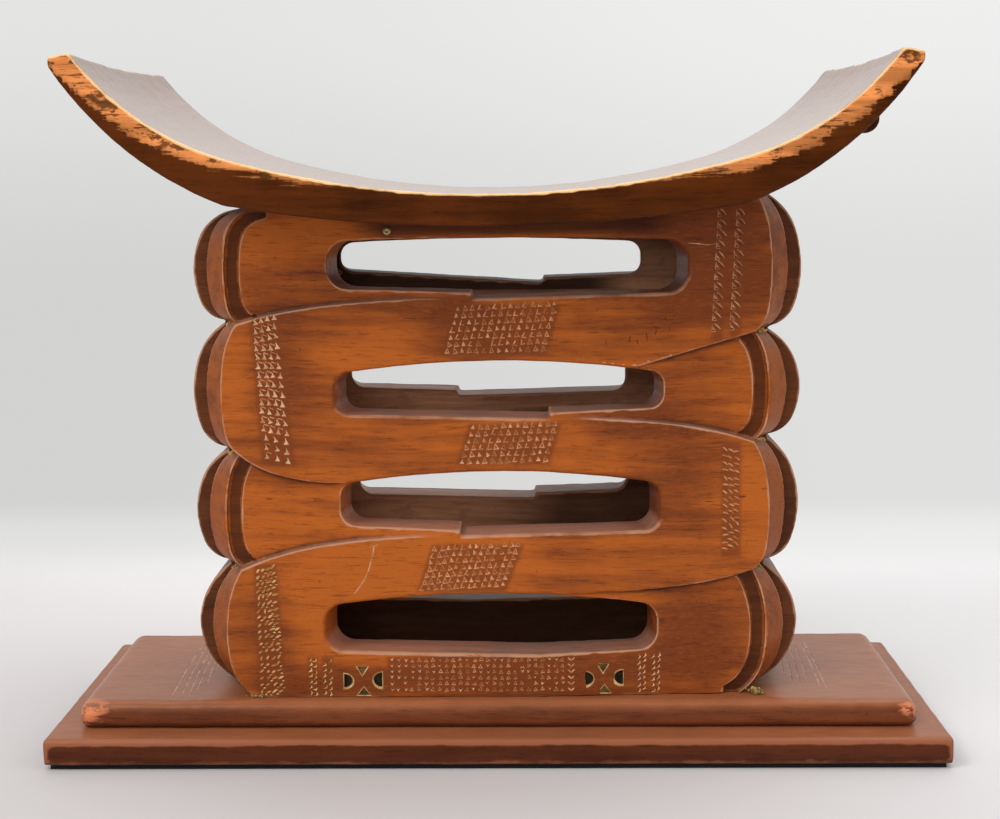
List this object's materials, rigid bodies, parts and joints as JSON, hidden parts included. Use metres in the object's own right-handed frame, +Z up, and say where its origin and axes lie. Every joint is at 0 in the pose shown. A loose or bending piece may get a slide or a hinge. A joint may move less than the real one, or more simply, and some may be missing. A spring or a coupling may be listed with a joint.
{
  "type": "carved stool",
  "caption": "Carved wooden stool with a saddle seat on a pierced, scalloped column that stands on a slab and a plinth.",
  "frame": {"origin": "on the floor, at the middle of the overall box", "axes": "+X to the right and +Y to the back as seen from the front, +Z up; the plinth's length runs along X"},
  "size_m": [0.56, 0.28, 0.4341],
  "materials": {
    "seat_wood": "waxed, worn bare along the front arris",
    "column_wood": "waxed, warm orange brown",
    "slab_wood": "waxed, reddish brown",
    "plinth_wood": "stained and waxed, dark reddish brown",
    "dowel_wood": "plain",
    "pad_felt": "black felt",
    "tack_brass": "dull, tarnished",
    "screw_steel": "plain"
  },
  "bodies": {
    "root": {"seat": "seat_wood", "front_screen": "column_wood", "back_screen": "column_wood", "left_cheek": "column_wood", "right_cheek": "column_wood", "foot_slab": "slab_wood", "plinth": "plinth_wood", "felt_pad": "pad_felt", "seat_dowels": "dowel_wood", "foot_dowels": "dowel_wood", "plinth_screws": "screw_steel", "front_tack": "tack_brass", "back_tack": "tack_brass"}
  },
  "joints": []
}
